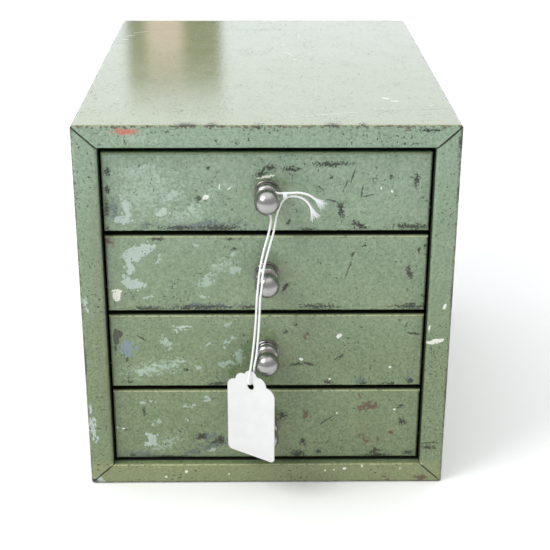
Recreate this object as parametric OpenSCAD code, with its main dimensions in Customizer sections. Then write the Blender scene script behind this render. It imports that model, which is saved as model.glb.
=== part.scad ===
// Four-drawer steel cabinet for small parts, with a strung tag on its top knob.
// Millimetres. The cabinet stands on Z = 0, faces -Y and is centred on the origin,
// knobs included.

/* [Case] */
// Outside width of the case
case_w = 205; // [165:1:300]
// Outside height of the case
case_h = 216; // [176:1:320]
// Depth of the case from its front face to its back edge
case_d = 279; // [200:1:400]
// Thickness of the case's sheet steel
case_t = 1; // [0.8:0.1:1.4]
// Outside radius of the case's folds
case_fold_r = 2; // [1.6:0.1:3]
// Height of the front rails over and under the drawers
rail_h = 12.3; // [10:0.1:18]
// Width of the front stiles beside the drawers
stile_w = 13.4; // [11:0.1:20]
// Depth of the lip that is folded back around the opening
lip_d = 9; // [6:0.5:12]
// Outside radius of the fold between a rail or stile and its lip
lip_fold_r = 1.8; // [1.5:0.1:2.5]
// Width of the open mitre at each front corner
mitre_gap = 0.4; // [0.2:0.1:0.8]

/* [Base and back] */
// Height of the base's side lips, which are welded inside the case
base_lip_h = 10; // [6:0.5:12]
// How far the back panel is set in, which is also the depth of its lips
back_inset = 12; // [8:0.5:16]
// Thickness of the back panel
back_t = 1; // [0.8:0.1:1.4]
// Side of the square notch at each corner of the back panel
back_notch = 4; // [3:0.5:6]

/* [Drawer fronts] */
// Number of drawers
drawer_count = 4; // [2:1:5]
// How far the drawer fronts sit behind the case's front face
front_recess = 5.5; // [3:0.5:8]
// Gap on each side of a drawer front
gap_side = 1.1; // [0.6:0.1:2]
// Gap under the lowest drawer front
gap_under = 1.4; // [0.8:0.1:3]
// Gap between two drawer fronts
gap_between = 2.8; // [2:0.1:4]
// Gap over the highest drawer front
gap_over = 3.7; // [1:0.1:5]
// Thickness of a drawer front's sheet
front_t = 0.9; // [0.7:0.1:1.2]
// Outside radius of a drawer front's folded edges
front_fold_r = 1.4; // [1.3:0.1:2]
// Depth of a drawer front's folded edges
front_return = 8; // [5:0.5:12]

/* [Trays] */
// Thickness of a tray's sheet
tray_t = 0.8; // [0.6:0.1:1.2]
// Outside radius of a tray's bottom folds
tray_fold_r = 1.8; // [1.3:0.1:2.5]
// How far a tray's rim is below the top of its drawer front
tray_drop = 5; // [3:0.5:10]
// Depth of the hem that is folded in at a tray's rim
tray_hem = 5; // [3:0.5:8]
// Length of the welded tabs in a tray's corners
tray_tab = 12; // [6:0.5:20]
// Gap between a closed tray and the back panel
stop_gap = 0.5; // [0.3:0.1:2]

/* [Runners] */
// Thickness of a runner's sheet
runner_t = 1; // [0.8:0.1:1.2]
// Width of a runner's ledge under the tray
ledge_w = 9; // [6:0.5:14]
// Height of a runner's web beside the tray
web_h = 10; // [8:0.5:12]
// Height of the flange that is welded to the case
weld_h = 8; // [6:0.5:10]
// Gap between a tray's bottom and the ledge
slide_gap = 0.3; // [0.2:0.1:0.6]
// Gap between a tray's side and the runner's web
side_play = 1; // [0.5:0.1:1.5]

/* [Knobs] */
// Diameter of a knob's ball
ball_dia = 13.8; // [9:0.1:16]
// Distance from the drawer front to the ball's centre
ball_reach = 16.1; // [14:0.1:22]
// Diameter of the neck behind the ball
neck_dia = 7; // [6.4:0.1:8]
// Greatest diameter of the collar behind the neck
collar_dia = 13.2; // [9:0.1:14]
// Radius of the collar's rounded rim
collar_round = 3.4; // [2.4:0.1:3.6]
// Distance from the drawer front to the middle of the collar
collar_reach = 5; // [4.5:0.1:6]
// Diameter of the foot on the drawer front
foot_dia = 14.2; // [11:0.1:18]
// Thickness of the foot
foot_t = 1.4; // [1:0.1:2]
// Diameter of the step on the foot
step_dia = 11.8; // [9:0.1:13]
// Thickness of the step
step_t = 0.8; // [0.4:0.1:1.5]

/* [Fasteners] */
// Diameter of the tapped hole in a knob
screw_dia = 4; // [3:0.1:4.4]
// Depth of the tapped hole in a knob
tap_depth = 9.5; // [8:0.5:11]
// How far the screw goes into the knob
screw_bite = 8; // [5:0.5:8]
// Gap around the screw's shank, in the knob
thread_gap = 0.1; // [0.05:0.05:0.2]
// Diameter of the screw holes in a drawer front, a tray and a washer
screw_hole_dia = 4.5; // [4.5:0.1:5]
// Diameter of the screw's head
head_dia = 7.6; // [6:0.1:9]
// Height of the screw's head
head_h = 2.3; // [1.8:0.1:3]
// Width of the slot in the screw's head
slot_w = 1; // [0.8:0.1:1.4]
// Outside diameter of a washer
washer_dia = 9; // [8:0.1:12]
// Thickness of a washer
washer_t = 0.8; // [0.5:0.1:1.2]

/* [Tag] */
// Width of the tag
tag_w = 31.5; // [26:0.5:40]
// Height of the tag
tag_h = 53.4; // [44:0.2:60]
// Thickness of the tag's card
tag_t = 0.4; // [0.3:0.1:0.6]
// Diameter of the tag's hole
tag_hole_dia = 4.4; // [4:0.1:5.2]
// Distance from the tag's top to the middle of its hole
tag_hole_drop = 9.4; // [7:0.1:11]
// Radius of the tag's lower corners
tag_corner_r = 2.5; // [1:0.1:5]
// Angle that the tag hangs at, turned about the vertical
tag_turn = -34.6; // [-36:0.1:-30]
// Diameter of the tag's string
string_dia = 1.2; // [1:0.1:1.2]

/* [Hidden] */
$fn = 48;
end_play = 1; // clear space at each end of a runner
cut = 1; // how far a cutting shape runs past what it cuts
wire = 0.05; // gap between the string and the edge of the tag's hole

// Lobed steps of the tag's top, from the lowest up. Each has its width as a share of the
// tag's width, its distance below the tag's top, and its corner radius.
tag_lobes = [[1, 7.8, 5.2], [0.65, 2.9, 4.9], [0.26, 0, 4.1]];

PER_DRAWER = ["front", "tray", "knob", "knob_washer", "knob_screw"];

steel_green = [0.52, 0.60, 0.47];
bare_steel = [0.62, 0.63, 0.64];
knob_metal = [0.75, 0.75, 0.77];
cotton = [0.95, 0.95, 0.93];

// The opening in the case's front and the row of drawer fronts in it
opening_w = case_w - 2 * stile_w;
opening_h = case_h - 2 * rail_h;
front_w = opening_w - 2 * gap_side;
front_gaps = gap_under + gap_over + (drawer_count - 1) * gap_between;
front_h = (opening_h - front_gaps) / drawer_count;
front_pitch = front_h + gap_between;

// A tray stands inside its drawer front's folded edges, clear of their inner radius
tray_clear = front_fold_r - front_t;
tray_w = front_w - 2 * (front_t + tray_clear);
tray_z = front_t + tray_clear;
tray_h = front_h - tray_drop - tray_z;
tray_d = case_d - back_inset - front_recess - front_t - stop_gap;

// Knobs stand on the fronts, so the cabinet's full depth runs from the balls to the back edge
knob_len = ball_reach + ball_dia / 2;
case_y = (knob_len - front_recess - case_d) / 2;
wall_x = case_w / 2 - case_t;

function drawer_z(n) = rail_h + gap_under + (drawer_count - n) * front_pitch;

// ---- Shapes of folded sheet -------------------------------------------------

// Rectangle from y = 0 back to d, centred on x, with both front corners rounded
module front_corners(w, d, r) {
    translate([-w / 2, r]) square([w, d - r]);
    translate([r - w / 2, 0]) square([w - 2 * r, d]);
    for (s = [-1, 1]) translate([s * (w / 2 - r), r]) circle(r);
}

// Block with its four front edges rounded, its front at y = 0 and its bottom at z = 0
module front_block(w, d, h, r) {
    intersection() {
        linear_extrude(h) front_corners(w, d, r);
        translate([-w / 2, 0, h / 2]) rotate([90, 0, 90]) linear_extrude(w)
            rotate(-90) front_corners(h, d, r);
    }
}

// Sheet folded into a shallow pan that is open at the back
module folded_pan(w, d, h, t, r) {
    difference() {
        front_block(w, d, h, r);
        translate([0, t, t]) front_block(w - 2 * t, d, h - 2 * t, r - t);
    }
}

// ---- Case -------------------------------------------------------------------

// Block of the case's outside, inset by a wall's thickness for its inside
module case_block(inset) {
    r = case_fold_r - inset;
    w = case_w - 2 * inset;
    h = case_h - 2 * inset;
    d = case_d + inset;
    translate([0, inset, inset]) intersection() {
        front_block(w, d, h, r);
        linear_extrude_back(d) {
            translate([-w / 2, r]) square([w, h - 2 * r]);
            translate([r - w / 2, 0]) square([w - 2 * r, h]);
            for (x = [r - w / 2, w / 2 - r], z = [r, h - r]) translate([x, z]) circle(r);
        }
    }
}

// Extrudes an outline that is drawn in x and z from y = 0 back to d
module linear_extrude_back(d) {
    translate([0, d, 0]) rotate([90, 0, 0]) linear_extrude(d) children();
}

// Plan of the front opening, flared where the sheet folds into the lip
module opening_plan(w, d, off) {
    translate([-w / 2 - off, 0]) square([w + 2 * off, d]);
    difference() {
        translate([-w / 2 - lip_fold_r, 0]) square([w + 2 * lip_fold_r, lip_fold_r]);
        for (s = [-1, 1]) translate([s * (w / 2 + lip_fold_r), lip_fold_r]) circle(lip_fold_r - off);
    }
}

// The opening as a solid; off = case_t gives the hidden side of the lip's sheet
module opening_block(d, off) {
    tall = case_h;
    intersection() {
        linear_extrude(tall) opening_plan(opening_w, d, off);
        translate([-case_w / 2, 0, tall / 2]) rotate([90, 0, 90]) linear_extrude(case_w)
            rotate(-90) opening_plan(opening_h, d, off);
    }
}

// The whole folded skin before its mitres are cut: walls, base, front frame and lip
module case_skin() {
    hole_w = opening_w + 2 * lip_fold_r;
    hole_h = opening_h + 2 * lip_fold_r;
    difference() {
        case_block(0);
        case_block(case_t);
        translate([-hole_w / 2, -cut, (case_h - hole_h) / 2]) cube([hole_w, lip_d, hole_h]);
    }
    difference() {
        opening_block(lip_d, case_t);
        opening_block(lip_d + cut, 0);
    }
}

mitre_run = stile_w / rail_h; // how far a mitre runs sideways per unit of height
mitre_half = mitre_gap / 2 * sqrt(1 + mitre_run * mitre_run); // half the gap, sideways

// Outline between the two lower mitres, moved out by grow on each side
module rail_outline(grow) {
    low = case_w / 2 + mitre_run * cut + grow;
    high = opening_w / 2 - mitre_run * cut + grow;
    polygon([[-low, -cut], [low, -cut], [high, rail_h + cut], [-high, rail_h + cut]]);
}

// Space that belongs to the base: its rail between the mitres, its lip and its panel
module base_space(grow) {
    linear_extrude_front(case_fold_r) rail_outline(grow);
    linear_extrude_front(lip_d + cut) intersection() {
        rail_outline(grow);
        translate([-wall_x, case_t]) square([2 * wall_x, rail_h + cut]);
    }
    translate([-wall_x, case_fold_r, -cut]) cube([2 * wall_x, case_d, cut + case_fold_r]);
}

// Extrudes an outline that is drawn in x and z from just before the front face back to d
module linear_extrude_front(d) {
    translate([0, d, 0]) rotate([90, 0, 0]) linear_extrude(d + cut) children();
}

// Slit of one upper mitre, on the right; it starts drop below the top
module mitre_slit(d, drop) {
    low = case_h - rail_h - cut;
    function mitre_x(z) = case_w / 2 - mitre_run * (case_h - z);
    linear_extrude_front(d) polygon([
        [mitre_x(case_h - drop) - mitre_half, case_h - drop],
        [mitre_x(case_h - drop) + mitre_half, case_h - drop],
        [mitre_x(low) + mitre_half, low],
        [mitre_x(low) - mitre_half, low]
    ]);
}

module case_wrap() {
    color(steel_green) difference() {
        case_skin();
        base_space(mitre_half);
        for (m = [0, 1]) mirror([m, 0, 0]) {
            mitre_slit(case_fold_r, -cut);
            mitre_slit(lip_d + cut, 2 * case_t);
        }
    }
}

module case_base() {
    lip_y = lip_d + end_play;
    lip_len = case_d - back_inset - end_play - lip_y;
    color(steel_green) {
        intersection() {
            case_skin();
            base_space(-mitre_half);
        }
        for (x = [-wall_x, wall_x - case_t]) translate([x, lip_y, case_t])
            cube([case_t, lip_len, base_lip_h]);
    }
}

module case_back() {
    w = 2 * wall_x;
    h = case_h - 2 * case_t;
    color(steel_green) translate([0, case_d - back_inset, case_t]) difference() {
        folded_pan(w, back_inset, h, back_t, case_fold_r);
        for (x = [-w / 2 - cut, w / 2 - back_notch], z = [-cut, h - back_notch])
            translate([x, -cut, z]) cube([back_notch + cut, back_inset + 2 * cut, back_notch + cut]);
    }
}

// Folded runner on the right: a ledge under the tray, a web beside it and a welded flange
module runner(n, side) {
    ledge_z = drawer_z(n) + tray_z - slide_gap;
    web_x = tray_w / 2 + side_play;
    start = front_recess + front_return + end_play;
    color(bare_steel) mirror([side < 0 ? 1 : 0, 0, 0])
        translate([0, case_d - back_inset - end_play, ledge_z]) rotate([90, 0, 0])
            linear_extrude(case_d - back_inset - end_play - start) {
                translate([tray_w / 2 - ledge_w, -runner_t])
                    square([ledge_w + side_play + runner_t, runner_t]);
                translate([web_x, -runner_t]) square([runner_t, web_h + runner_t]);
                translate([web_x, web_h - runner_t]) square([wall_x - web_x, runner_t]);
                translate([wall_x - runner_t, web_h - runner_t])
                    square([runner_t, weld_h + runner_t]);
            }
}

// ---- Drawers, each drawn with its front's face at y = 0 and its bottom edge at z = 0 ----

module screw_hole(dia, from, to) {
    translate([0, to, front_h / 2]) rotate([90, 0, 0]) cylinder(d = dia, h = to - from);
}

module drawer_front() {
    color(steel_green) difference() {
        folded_pan(front_w, front_return, front_h, front_t, front_fold_r);
        screw_hole(screw_hole_dia, -cut, front_t + cut);
    }
}

// Upright section of a tray, seen from the front, with its bottom corners rounded
module tray_outline(inset) {
    front_corners(tray_w - 2 * inset, tray_h - inset, tray_fold_r - inset);
}

module drawer_tray() {
    side_x = tray_w / 2 - 1.5 * tray_t;
    tab_h = tray_h - tray_hem - tray_fold_r;
    color(steel_green) translate([0, front_t, tray_z]) difference() {
        union() {
            linear_extrude_back(tray_d) difference() {
                tray_outline(0);
                translate([0, tray_t]) tray_outline(tray_t);
            }
            for (y = [0, tray_d - tray_t]) translate([0, y, 0])
                linear_extrude_back(tray_t) tray_outline(0);
            for (s = [-1, 1]) translate([s * side_x, 0, 0]) {
                translate([-tray_t / 2, 0, tray_h - tray_hem]) cube([tray_t, tray_d, tray_hem]);
                for (y = [0, tray_d - tray_tab])
                    translate([-tray_t / 2, y, tray_fold_r]) cube([tray_t, tray_tab, tab_h]);
            }
            translate([-tray_w / 2, tray_d - 2 * tray_t, tray_h - tray_hem])
                cube([tray_w, tray_t, tray_hem]);
        }
        translate([0, -front_t, -tray_z]) screw_hole(screw_hole_dia, 0, front_t + tray_t + cut);
    }
}

// Half section of a knob: x is the radius and y is the distance from the drawer front
module knob_outline() {
    square([foot_dia / 2, foot_t]);
    square([step_dia / 2, foot_t + step_t]);
    square([neck_dia / 2, ball_reach]);
    intersection() {
        union() {
            translate([collar_dia / 2 - collar_round, collar_reach]) circle(collar_round);
            translate([0, collar_reach - collar_round])
                square([collar_dia / 2 - collar_round, 2 * collar_round]);
            translate([0, ball_reach]) circle(d = ball_dia);
        }
        square([collar_dia + ball_dia, knob_len + cut]);
    }
}

module drawer_knob() {
    color(knob_metal) translate([0, 0, front_h / 2]) rotate([90, 0, 0]) difference() {
        rotate_extrude() knob_outline();
        translate([0, 0, -cut]) cylinder(d = screw_dia, h = tap_depth + cut);
    }
}

module drawer_knob_washer() {
    from = front_t + tray_t;
    color(bare_steel) difference() {
        screw_hole(washer_dia, from, from + washer_t);
        screw_hole(screw_hole_dia, from - cut, from + washer_t + cut);
    }
}

module drawer_knob_screw() {
    head_y = front_t + tray_t + washer_t;
    color(bare_steel) difference() {
        union() {
            screw_hole(screw_dia - 2 * thread_gap, -screw_bite, head_y + cut);
            screw_hole(head_dia, head_y, head_y + head_h);
        }
        translate([-head_dia, head_y + head_h / 2, (front_h - slot_w) / 2])
            cube([2 * head_dia, head_h, slot_w]);
    }
}

module drawer_part(part) {
    if (part == "front") drawer_front();
    if (part == "tray") drawer_tray();
    if (part == "knob") drawer_knob();
    if (part == "knob_washer") drawer_knob_washer();
    if (part == "knob_screw") drawer_knob_screw();
}

// ---- Tag and string -----------------------------------------------------------

// The string's route, both of its tails starting at the knot beside the top knob: round
// the neck, down past the second and third knobs, through the tag's hole and up again
TAG_EYE = [-9, -145.6, 73.3];
STRING = [
    [26, -137.4, 177.6], [22, -137.6, 180.4], [17, -137.8, 181.8], [12, -137.6, 181.6],
    [6.6, -136, 180.9], [2.9, -134.6, 181.2], [0, -134.6, 182.1], [-3.1, -134.6, 180.8],
    [-4.3, -134.6, 177.8], [-3.2, -134.6, 174.7], [-0.6, -134.8, 172.8], [1.6, -135.8, 169.6],
    [2, -137.4, 165.4], [0.6, -139.8, 158.8], [-1.8, -142.6, 151], [-3.8, -145.6, 141.5],
    [-4.9, -147.3, 132], [-5.6, -146.6, 123.6], [-6, -144.6, 113], [-6.8, -144, 102],
    [-7.8, -144.4, 92], [-8.8, -145.2, 84.6], [-9.6, -146.8, 80.2], [-10.3, -147.6, 76.4],
    [-9.9, -147.1, 74.1], TAG_EYE, [-8.1, -144.2, 74.1], [-7.7, -143.6, 76.4],
    [-7.4, -144.4, 80.2], [-6.8, -145.4, 85], [-5.8, -145.4, 91], [-4.9, -144.8, 101],
    [-4.2, -144.8, 112], [-3.8, -146.8, 123.6], [-2.9, -148.5, 132], [-2, -147, 141.5],
    [0.6, -143, 151], [3.4, -139, 160], [5, -136, 168], [7, -135.2, 174],
    [9.8, -135.8, 178.2], [14, -136.2, 179.4], [18.4, -136.4, 178.4], [21.6, -136.6, 175.8],
    [23.6, -136.8, 172.4]
];

tag_eye_z = TAG_EYE[2] + (string_dia - tag_hole_dia) / 2 + wire; // middle of the hole

// Outline of the tag, its hole at the origin, with three lobed steps up to its top
module tag_outline() {
    top = tag_hole_drop;
    low = top - tag_h;
    for (lobe = tag_lobes) {
        lobe_top = top - lobe[1];
        intersection() {
            translate([0, lobe_top]) mirror([0, 1])
                front_corners(lobe[0] * tag_w, lobe_top - low, lobe[2]);
            translate([0, low]) front_corners(tag_w, tag_h, tag_corner_r);
        }
    }
}

module tag_card() {
    color(cotton) translate([TAG_EYE[0], TAG_EYE[1], tag_eye_z]) rotate([0, 0, tag_turn])
        rotate([90, 0, 0]) difference() {
            linear_extrude(tag_t, center = true) tag_outline();
            cylinder(d = tag_hole_dia, h = 2 * cut, center = true);
        }
}

// A point at t, from 0 to 1, between b and c on the smooth curve through a, b, c and d
function smooth(a, b, c, d, t) =
    b + (c - a) * t / 2 + (2 * a - 5 * b + 4 * c - d) * t * t / 2
    + (3 * b - a - 3 * c + d) * t * t * t / 2;

function path_point(p, i) = p[max(0, min(len(p) - 1, i))];

function smooth_path(p, parts) = [
    for (i = [0 : len(p) - 2], k = [0 : parts - 1])
        smooth(path_point(p, i - 1), p[i], p[i + 1], path_point(p, i + 2), k / parts),
    p[len(p) - 1]
];

function unit(v) = v / norm(v);

// Directions along the path, and a first side direction carried on without twisting
function heading(p, i) = unit(path_point(p, i + 1) - path_point(p, i - 1));
function carried(side, along) = unit(side - (side * along) * along);
function sides(p, i = 0, side = [0, 1, 0]) =
    i == len(p) ? [] :
    let (now = carried(side, heading(p, i))) concat([now], sides(p, i + 1, now));

// A tube of round section along p, closed at both ends
module swept_tube(p, r, corners) {
    side = sides(p);
    last = len(p) - 1;
    rings = [for (i = [0 : last], k = [0 : corners - 1])
        let (a = 360 * k / corners, up = cross(heading(p, i), side[i]))
            p[i] + r * (cos(a) * side[i] + sin(a) * up)];
    walls = [for (i = [0 : last - 1], k = [0 : corners - 1])
        let (n = (k + 1) % corners, q = i * corners)
            [q + k, q + corners + k, q + corners + n, q + n]];
    ends = [[for (k = [0 : corners - 1]) k], [for (k = [corners - 1 : -1 : 0]) last * corners + k]];
    polyhedron(rings, concat(walls, ends));
}

module tag_string() {
    color(cotton) swept_tube(smooth_path(STRING, 2), string_dia / 2, 8);
}

// ---- Every piece in its place ---------------------------------------------------

translate([0, case_y, 0]) {
    case_wrap();
    case_base();
    case_back();
    for (n = [1 : drawer_count]) {
        runner(n, -1);
        runner(n, 1);
        translate([0, front_recess, drawer_z(n)]) for (p = PER_DRAWER) {
            drawer_part(p);
        }
    }
}
tag_card();
tag_string();
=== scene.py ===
"""Looks of a small steel drawer cabinet with a strung paper tag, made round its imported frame.

The cabinet is worn green enamel on folded sheet steel, with turned knobs. Everything is in
metres, +Z up, with the drawers pulling out towards -Y.
"""

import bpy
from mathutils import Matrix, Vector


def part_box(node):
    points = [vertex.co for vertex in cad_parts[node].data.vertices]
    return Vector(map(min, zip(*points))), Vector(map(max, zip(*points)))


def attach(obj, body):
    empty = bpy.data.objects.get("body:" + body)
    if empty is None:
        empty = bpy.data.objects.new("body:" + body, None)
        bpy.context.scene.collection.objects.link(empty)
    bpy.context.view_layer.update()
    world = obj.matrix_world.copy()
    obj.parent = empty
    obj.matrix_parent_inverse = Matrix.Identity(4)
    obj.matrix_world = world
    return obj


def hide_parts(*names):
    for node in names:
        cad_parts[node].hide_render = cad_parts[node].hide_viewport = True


bl_info = {
    "name": "Drawer Cabinet Looks",
    "version": (1, 0, 0),
    "blender": (4, 5, 0),
    "location": "3D View > Sidebar > Cabinet",
    "description": "Finishes, string, tag and studio for a small steel drawer cabinet",
    "category": "Object",
}

from math import cos, pi, radians, sin

import bpy
from bpy.props import FloatProperty, FloatVectorProperty, IntProperty, PointerProperty
from mathutils import Matrix, Vector
from mathutils.noise import noise

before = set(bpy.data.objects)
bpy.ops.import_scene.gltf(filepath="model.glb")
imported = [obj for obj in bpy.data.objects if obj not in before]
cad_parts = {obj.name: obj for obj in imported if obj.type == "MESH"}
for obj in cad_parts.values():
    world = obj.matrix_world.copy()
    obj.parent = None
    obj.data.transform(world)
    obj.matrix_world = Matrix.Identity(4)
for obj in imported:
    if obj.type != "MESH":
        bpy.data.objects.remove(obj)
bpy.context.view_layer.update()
MM = 0.001

CASE_LOW, CASE_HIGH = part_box("case_wrap")
DRAWERS = [1, 2, 3, 4]
SIDE_GAP = 2.6 * MM  # between a drawer front and the opening's edges, at its sides and top
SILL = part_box("drawer_4_front")[0][2] - 1.4 * MM  # height of the ledge under the lowest drawer
REAR_INSET = 12 * MM  # how far the back panel is set in

# The camera: its lens and sensor in millimetres, its place, and its turns in degrees
LENS, SENSOR = 79.86, 36
CAMERA_PLACE = (-4.86 * MM, -743.5 * MM, 389.81 * MM)
PAN, TILT, ROLL = -0.867, 90 - 22.804, 0.193

# The lit wall behind, the dim doorway in it and the curtain in the doorway. Each has the
# directions where it starts and ends, its lowest and highest angle, all in degrees, and its
# colour or, for the wall, its tint.
WALL_SPAN, WALL_TINT = (-70, 70, -2, 30), (0.9, 0.95, 1.07)
DOOR_SPAN, DOOR_COLOUR = (-6.1, -1.7, 0, 14.3), (0.1, 0.1, 0.07)
CURTAIN_SPAN, CURTAIN_COLOUR = (-5.2, -3.5, 0, 13.2), (1.2, 0.86, 0.84)


def srgb(red, green, blue):
    """A colour given as 0 to 255, as the linear values that the shader takes."""
    return tuple(
        c / 12.92 if c <= 0.04045 else ((c + 0.055) / 1.055) ** 2.4
        for c in (red / 255, green / 255, blue / 255)
    )


# ---------------------------------------------------------------- settings


def colour(name, description, *rgb):
    """A colour setting with its default."""
    return FloatVectorProperty(
        name=name, description=description, subtype="COLOR", size=3, min=0, max=1,
        default=srgb(*rgb),
    )


def number(name, description, default, most, least=0, **more):
    """A number setting with its default and its limits."""
    return FloatProperty(
        name=name, description=description, default=default, min=least, max=most, **more
    )


class EnamelSettings(bpy.types.PropertyGroup):
    """Colours of the enamel and of what shows where it is worn"""

    # Painted light: the first two colours are the enamel's flecks as they look low down, in painted
    # shade; the next two are the same flecks painted paler and bluer for near the top, where more light
    # falls.
    light: colour("Light green", "Light flecks of the enamel, low on the cabinet", 140, 155, 118)
    dark: colour("Dark green", "Dark flecks of the enamel, low on the cabinet", 86, 108, 74)
    lamplit: colour("Lamplit green", "Light flecks of the enamel, faded near its top", 162, 183, 164)
    shade: colour("Shaded green", "Dark flecks of the enamel near its top", 108, 132, 108)
    top_light: colour("Light olive", "Light flecks of the enamel on the top", 156, 163, 126)
    top_dark: colour("Dark olive", "Dark flecks of the enamel on the top", 125, 134, 94)
    bare: colour("Undercoat", "Pale undercoat where the enamel has flaked off", 174, 190, 180)
    smear: colour("Scuff", "Chalky scuffs rubbed onto the enamel", 168, 188, 174)
    fleck: colour("Fleck", "Yellowish light flecks", 176, 182, 138)
    primer: colour("Primer", "Grey primer where the paint is worn thin", 88, 102, 104)
    slate: colour("Slate", "Blue-grey undercoat in larger flakes", 122, 140, 152)
    scab: colour("Scab", "Dull dark metal in larger flakes", 60, 62, 50)
    sill: colour("Sill", "Yellowed paint low on the case", 162, 160, 112)
    chip: colour("Chip", "Dark steel at the bottom of a chip", 42, 44, 36)
    edge: colour("Edge", "Brown metal along the rubbed outer edges", 78, 66, 52)
    # Near-black: dark dirt in the mitre seams, and also the painted shade in the gaps between the
    # drawers and in the opening.
    seam_dirt_and_gap_shade: colour("Grime", "Dirt in the gaps and folds", 20, 22, 16)
    rust: colour("Rust", "Dry brown rust", 98, 72, 56)
    stain: colour("Stain", "Brownish handling stain", 116, 116, 88)
    white: colour("White", "Specks of white paint", 226, 230, 218)
    red: colour("Red", "Smear of red-orange wax pencil", 196, 92, 66)
    roughness: number("Roughness", "How matt the enamel is", 0.085, 1, subtype="FACTOR")


class StringSettings(bpy.types.PropertyGroup):
    """The tag's cotton string"""

    diameter: number(
        "Diameter", "Thickness of the string", 1.32 * MM, 2 * MM, 0.5 * MM, unit="LENGTH",
        precision=5,
    )
    twist: number(
        "Twist", "Length of one full turn of its strands", 4.2 * MM, 20 * MM, 2 * MM,
        unit="LENGTH", precision=5,
    )
    fibres: IntProperty(
        name="Fibres", description="Loose fibres at each frayed end", default=56, min=4, max=80,
    )
    tint: colour("Tint", "Colour of the cotton", 250, 251, 251)


class KnobSettings(bpy.types.PropertyGroup):
    """Metal of the turned knobs"""

    metal: colour("Metal", "Satin metal of the knobs", 166, 165, 163)
    # The brown colour below is also the painted shadow in the groove between the collar and the ball.
    tarnish_and_groove_shade: colour("Tarnish", "Brown film in the knobs' grooves", 116, 104, 92)
    roughness: number("Roughness", "How matt the metal is", 0.27, 1, subtype="FACTOR")


class StageSettings(bpy.types.PropertyGroup):
    """Light and surroundings"""

    sky: number("Walls", "Brightness of the room's walls", 0.55, 4)
    ceiling: number("Ceiling", "Brightness of the room's ceiling", 1.5, 8)
    key: number(
        "Key", "Power of the soft light above the left shoulder", 14.0, 200, unit="POWER"
    )
    back: number("Back wall", "Brightness of the lit wall behind", 1.7, 8)


class CabinetSettings(bpy.types.PropertyGroup):
    """Everything that can be changed on the cabinet"""

    enamel: PointerProperty(type=EnamelSettings)
    string: PointerProperty(type=StringSettings)
    knob: PointerProperty(type=KnobSettings)
    stage: PointerProperty(type=StageSettings)


# ---------------------------------------------------------------- building finishes


class Nodes:
    """Adds nodes to a tree and joins them."""

    def __init__(self, tree):
        self.tree = tree

    def add(self, kind, *values, out=0, **settings):
        """Adds a node, sets or joins its first inputs in order, and gives one output."""
        node = self.tree.nodes.new("ShaderNode" + kind)
        for key, value in settings.items():
            setattr(node, key, value)
        for socket, value in zip(node.inputs, values):
            self.feed(socket, value)
        return node.outputs[out]

    def feed(self, socket, value):
        """Joins an output to a socket, or sets its value."""
        if isinstance(value, bpy.types.NodeSocket):
            self.tree.links.new(value, socket)
        elif value is not None:
            socket.default_value = value

    def sum(self, operation, first, second=None, third=None):
        """One step of arithmetic."""
        return self.add("Math", first, second, third, operation=operation)

    def times(self, first, second):
        return self.sum("MULTIPLY", first, second)

    def plus(self, first, second):
        return self.sum("ADD", first, second)

    def minus(self, first, second):
        return self.sum("SUBTRACT", first, second)

    def least(self, first, second):
        return self.sum("MINIMUM", first, second)

    def fade(self, value, start, end):
        """0 at start and 1 at end, smoothly between."""
        return self.add("MapRange", value, start, end, interpolation_type="SMOOTHSTEP")

    def mix(self, share, under, over):
        """over laid on under, as far as share says."""
        node = self.tree.nodes.new("ShaderNodeMix")
        node.data_type = "RGBA"
        colours = [s for s in node.inputs if s.type == "RGBA"]
        self.feed(node.inputs[0], share)
        for socket, value in zip(colours, (under, over)):
            self.feed(socket, value if isinstance(value, bpy.types.NodeSocket) else (*value, 1))
        return [s for s in node.outputs if s.type == "RGBA"][0]


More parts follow.
